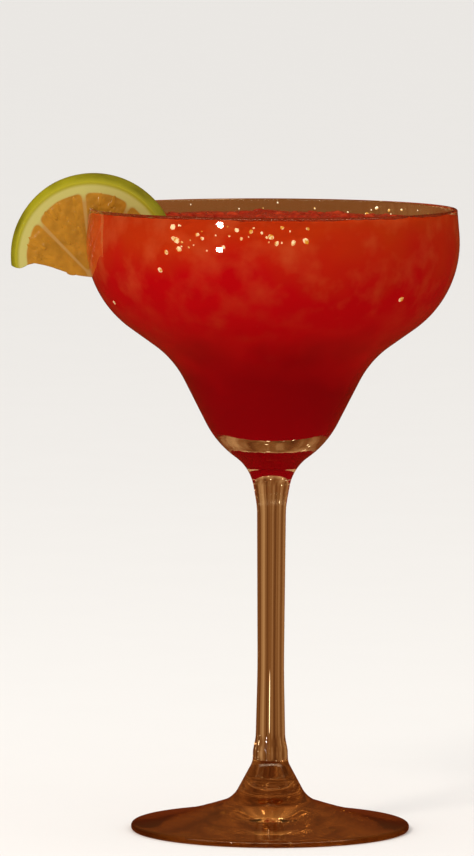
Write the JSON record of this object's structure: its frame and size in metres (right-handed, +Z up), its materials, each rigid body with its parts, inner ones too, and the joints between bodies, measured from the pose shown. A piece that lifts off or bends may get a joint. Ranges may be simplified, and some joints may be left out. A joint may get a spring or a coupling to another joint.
{
  "type": "frozen margarita",
  "caption": "Strawberry-red frozen margarita in a wide-bowled stemmed glass with a slim solid stem and a round foot, and half a wheel of lime slit onto the rim.",
  "frame": {"origin": "On the glass axis, in the plane of the flat ring under the foot, which is the plane the glass stands on.", "axes": "+Z points up along the glass axis. The lime sits on the rim at -X, and its flat sides face -Y and +Y, so -Y is the front."},
  "size_m": [0.1298, 0.108, 0.1907],
  "materials": {
    "glass": "polished clear glass with a faint warm cast",
    "drink": "wet, finely blended strawberry-red ice slush",
    "lime": "waxy green skin, cream pith and wet amber pulp"
  },
  "bodies": {
    "root": {"glass": "glass", "drink": "drink", "lime_slice": "lime"}
  },
  "joints": []
}
